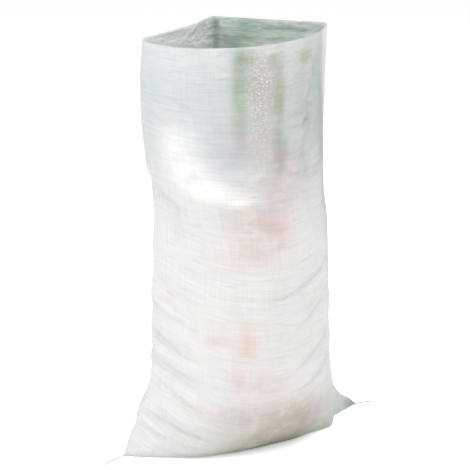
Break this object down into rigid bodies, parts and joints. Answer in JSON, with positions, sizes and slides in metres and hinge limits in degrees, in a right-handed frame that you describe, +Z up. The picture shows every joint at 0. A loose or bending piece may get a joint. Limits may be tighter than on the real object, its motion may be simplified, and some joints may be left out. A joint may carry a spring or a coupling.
{
  "type": "rubble sack",
  "caption": "Open woven sack standing upright, half filled with broken brick and concrete, with pointed bottom corners and loose stitching ends.",
  "frame": {"origin": "on the floor under the middle of the bottom seam, which is the middle of the box without the loose thread ends", "axes": "+X along the bottom seam towards the right ear, -Y towards the front, +Z up"},
  "size_m": [0.6204, 0.336, 0.82],
  "materials": {
    "woven_cloth": "white woven polypropylene tape, satin, faintly translucent",
    "sewing_thread": "grey-white twisted bag-closing thread",
    "broken_brick": "red fired clay with rough dusty broken faces",
    "broken_concrete": "grey broken concrete with small aggregate, dusty",
    "rubble_fines": "grey-brown crumbs and dust of brick and mortar"
  },
  "bodies": {
    "root": {"woven_sack": "woven_cloth", "bottom_seam_thread": "sewing_thread", "thread_tail_left": "sewing_thread", "thread_tail_right": "sewing_thread", "rubble_core": "rubble_fines", "brick_lump_01": "broken_brick", "brick_lump_02": "broken_brick", "brick_lump_03": "broken_brick", "brick_lump_04": "broken_brick", "brick_lump_05": "broken_brick", "brick_lump_06": "broken_brick", "brick_lump_07": "broken_brick", "brick_lump_08": "broken_brick", "brick_lump_09": "broken_brick", "brick_lump_10": "broken_brick", "brick_lump_11": "broken_brick", "brick_lump_12": "broken_brick", "brick_lump_13": "broken_brick", "concrete_lump_01": "broken_concrete", "concrete_lump_02": "broken_concrete", "concrete_lump_03": "broken_concrete", "concrete_lump_04": "broken_concrete", "concrete_lump_05": "broken_concrete", "concrete_lump_06": "broken_concrete", "concrete_lump_07": "broken_concrete", "concrete_lump_08": "broken_concrete", "concrete_lump_09": "broken_concrete", "concrete_lump_10": "broken_concrete"}
  },
  "joints": []
}
